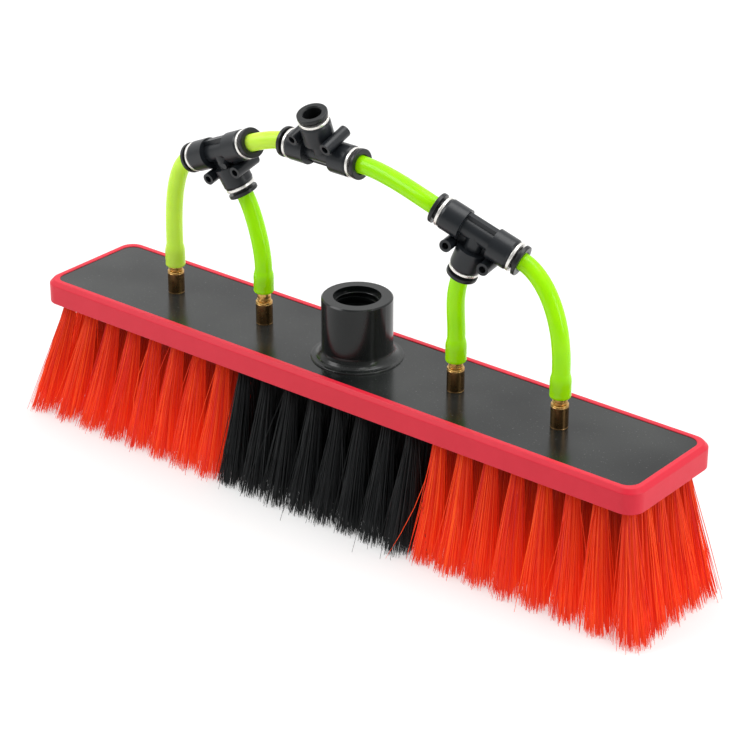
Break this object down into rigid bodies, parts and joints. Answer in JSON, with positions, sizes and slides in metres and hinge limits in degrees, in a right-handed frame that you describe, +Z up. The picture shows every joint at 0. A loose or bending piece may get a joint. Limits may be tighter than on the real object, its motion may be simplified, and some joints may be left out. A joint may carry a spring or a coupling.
{
  "type": "water-fed wash brush head",
  "caption": "Long rectangular wash-brush head with a threaded pole socket, soft bumper rim, fanned bristle tufts and brass rinse jets fed by tubing and push-in tees.",
  "frame": {"origin": "under the block's centre, on the plane of the bristle tips", "axes": "+X along the block, +Z up out of the pole socket, -Y the side that the supply port leans towards"},
  "size_m": [0.3594, 0.0706, 0.1852],
  "materials": {
    "block_plastic": "moulded, glossy",
    "bumper_rubber": "soft satin",
    "anchor_wire": "drawn wire",
    "red_bristle": "split-tip filaments",
    "black_bristle": "split-tip filaments",
    "lime_tubing": "translucent polyurethane",
    "jet_brass": "dull, darkened",
    "fitting_plastic": "fine moulded",
    "collar_plastic": "fine moulded",
    "port_ring": "plated",
    "spring_steel": "spring temper",
    "seal_rubber": "moulded"
  },
  "bodies": {
    "brush_head": {"brush_block": "block_plastic", "rim_bumper": "bumper_rubber", "tuft_anchors": "anchor_wire", "red_left_tufts_1": "red_bristle", "red_left_tufts_2": "red_bristle", "red_left_tufts_3": "red_bristle", "red_left_tufts_4": "red_bristle", "red_left_tufts_5": "red_bristle", "black_tufts_1": "black_bristle", "black_tufts_2": "black_bristle", "black_tufts_3": "black_bristle", "black_tufts_4": "black_bristle", "black_tufts_5": "black_bristle", "red_right_tufts_1": "red_bristle", "red_right_tufts_2": "red_bristle", "red_right_tufts_3": "red_bristle", "red_right_tufts_4": "red_bristle", "red_right_tufts_5": "red_bristle", "jet_1": "jet_brass", "jet_2": "jet_brass", "jet_3": "jet_brass", "jet_4": "jet_brass", "jet_tube_1": "lime_tubing", "jet_tube_2": "lime_tubing", "jet_tube_3": "lime_tubing", "jet_tube_4": "lime_tubing", "left_cross_tube": "lime_tubing", "right_cross_tube": "lime_tubing", "left_tee_body": "fitting_plastic", "left_tee_port_rings": "port_ring", "left_tee_grab_rings": "spring_steel", "left_tee_o_rings": "seal_rubber", "right_tee_body": "fitting_plastic", "right_tee_port_rings": "port_ring", "right_tee_grab_rings": "spring_steel", "right_tee_o_rings": "seal_rubber"},
    "inlet_tee": {"inlet_tee_body": "fitting_plastic", "inlet_tee_port_rings": "port_ring", "inlet_tee_grab_rings": "spring_steel", "inlet_tee_o_rings": "seal_rubber"},
    "left_outer_release": {"left_tee_outer_collar": "collar_plastic"},
    "left_inner_release": {"left_tee_inner_collar": "collar_plastic"},
    "left_branch_release": {"left_tee_branch_collar": "collar_plastic"},
    "inlet_left_release": {"inlet_tee_left_collar": "collar_plastic"},
    "inlet_right_release": {"inlet_tee_right_collar": "collar_plastic"},
    "inlet_top_release": {"inlet_tee_top_collar": "collar_plastic"},
    "right_inner_release": {"right_tee_inner_collar": "collar_plastic"},
    "right_outer_release": {"right_tee_outer_collar": "collar_plastic"},
    "right_branch_release": {"right_tee_branch_collar": "collar_plastic"}
  },
  "joints": [
    {"name": "inlet_tee_swivel", "type": "hinge", "parent": "brush_head", "child": "inlet_tee", "pos_m": [-0.0185, -0.0005, 0.1621], "axis": [0.9998, -0.0175, 0], "range_deg": [-80, 40]},
    {"name": "left_outer_collar_push", "type": "slide", "parent": "brush_head", "child": "left_outer_release", "axis": [0.9113, -0.0637, 0.4067], "range_m": [0, 0.0012], "stiffness_N_per_m": 1500},
    {"name": "left_inner_collar_push", "type": "slide", "parent": "brush_head", "child": "left_inner_release", "axis": [-0.9113, 0.0637, -0.4067], "range_m": [0, 0.0012], "stiffness_N_per_m": 1500},
    {"name": "left_branch_collar_push", "type": "slide", "parent": "brush_head", "child": "left_branch_release", "axis": [-0.411, -0.1968, 0.8901], "range_m": [0, 0.0012], "stiffness_N_per_m": 1500},
    {"name": "inlet_left_collar_push", "type": "slide", "parent": "inlet_tee", "child": "inlet_left_release", "axis": [0.9998, -0.0175, 0], "range_m": [0, 0.0012], "stiffness_N_per_m": 1500},
    {"name": "inlet_right_collar_push", "type": "slide", "parent": "inlet_tee", "child": "inlet_right_release", "axis": [-0.9998, 0.0175, 0], "range_m": [0, 0.0012], "stiffness_N_per_m": 1500},
    {"name": "inlet_top_collar_push", "type": "slide", "parent": "inlet_tee", "child": "inlet_top_release", "axis": [0.006, 0.342, -0.9397], "range_m": [0, 0.0012], "stiffness_N_per_m": 1500},
    {"name": "right_inner_collar_push", "type": "slide", "parent": "brush_head", "child": "right_inner_release", "axis": [0.9131, 0.161, -0.3746], "range_m": [0, 0.0012], "stiffness_N_per_m": 1500},
    {"name": "right_outer_collar_push", "type": "slide", "parent": "brush_head", "child": "right_outer_release", "axis": [-0.9131, -0.161, 0.3746], "range_m": [0, 0.0012], "stiffness_N_per_m": 1500},
    {"name": "right_branch_collar_push", "type": "slide", "parent": "brush_head", "child": "right_branch_release", "axis": [0.3719, 0.0479, 0.927], "range_m": [0, 0.0012], "stiffness_N_per_m": 1500}
  ]
}
